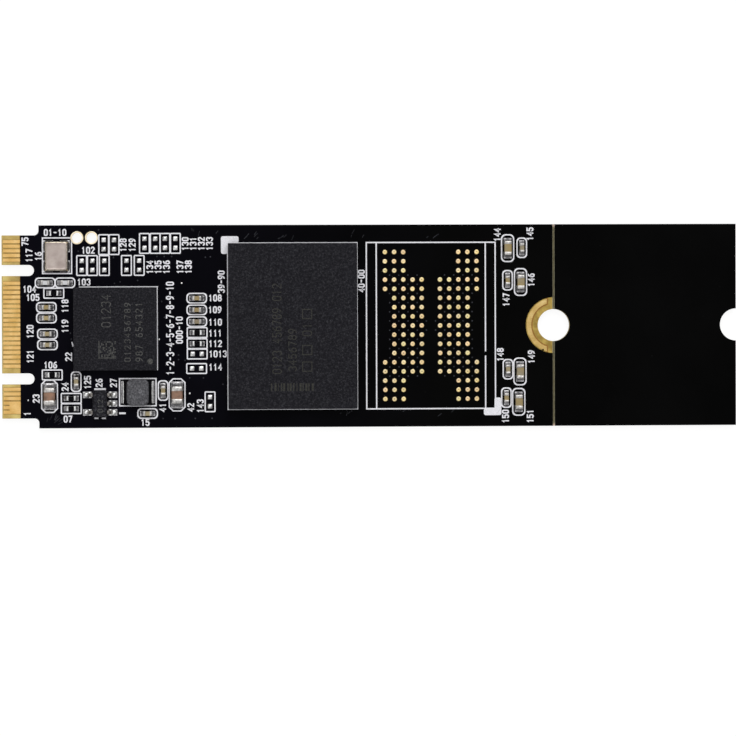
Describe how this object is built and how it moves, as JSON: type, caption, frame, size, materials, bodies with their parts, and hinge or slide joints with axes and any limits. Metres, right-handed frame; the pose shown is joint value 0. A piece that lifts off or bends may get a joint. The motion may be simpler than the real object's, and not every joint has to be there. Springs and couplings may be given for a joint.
{
  "type": "solid state drive card",
  "caption": "Flat solid state drive card with a keyed edge connector, a controller, a flash chip, a bare flash site and a snap-off end.",
  "frame": {"origin": "on the underside, at the middle of the edge connector's leading edge", "axes": "+X from the edge connector to the far end, +Z out of the component side, +Y to the side where the crystal is"},
  "size_m": [0.08, 0.022, 0.0021],
  "materials": {
    "laminate": "satin",
    "black_mask": "gloss",
    "gold_plate": "satin",
    "pale_gold_plate": "satin",
    "tin": "satin",
    "white_ink": "matte",
    "mould_compound": "matte",
    "chip_laminate": "satin",
    "silicon": "polished",
    "amber_film": "satin",
    "dark_ceramic": "matte",
    "lid_metal": "satin",
    "quartz": "polished",
    "ferrite": "matte",
    "copper_wire": "gloss",
    "tan_ceramic": "satin",
    "brown_ceramic": "satin",
    "white_ceramic": "matte",
    "black_glaze": "gloss"
  },
  "bodies": {
    "card": {"board_core": "laminate", "solder_mask_top": "black_mask", "solder_mask_bottom": "black_mask", "edge_contacts_top": "gold_plate", "edge_contacts_bottom": "gold_plate", "ground_arc_top": "gold_plate", "ground_arc_bottom": "gold_plate", "plated_hole_barrels": "pale_gold_plate", "component_pads": "tin", "empty_site_pads": "tin", "spare_flash_pads": "pale_gold_plate", "flash_pads": "pale_gold_plate", "controller_pads": "pale_gold_plate", "ink_part_frames": "white_ink", "ink_chip_frames": "white_ink", "controller_cover": "mould_compound", "controller_substrate": "chip_laminate", "controller_die": "silicon", "controller_balls": "tin", "flash_cover": "mould_compound", "flash_substrate": "chip_laminate", "flash_dies": "silicon", "flash_balls": "tin", "die_attach_films": "amber_film", "crystal_case": "dark_ceramic", "crystal_lid": "lid_metal", "crystal_blank": "quartz", "crystal_terminals": "pale_gold_plate", "regulator_case": "mould_compound", "regulator_leads": "tin", "regulator_die": "silicon", "inductor_core": "ferrite", "inductor_winding": "copper_wire", "inductor_terminals": "tin", "small_capacitor_blocks": "tan_ceramic", "small_capacitor_caps": "tin", "medium_capacitor_blocks": "tan_ceramic", "medium_capacitor_caps": "tin", "bulk_capacitor_blocks": "brown_ceramic", "bulk_capacitor_caps": "tin", "resistor_blocks": "white_ceramic", "resistor_films": "black_glaze", "resistor_caps": "tin", "solder_joints": "tin"},
    "tab": {"tab_core": "laminate", "tab_mask_top": "black_mask", "tab_mask_bottom": "black_mask"}
  },
  "joints": [
    {"name": "tab_snap_off", "type": "slide", "parent": "card", "child": "tab", "axis": [1, 0, 0], "range_m": [0, 0.02]}
  ]
}
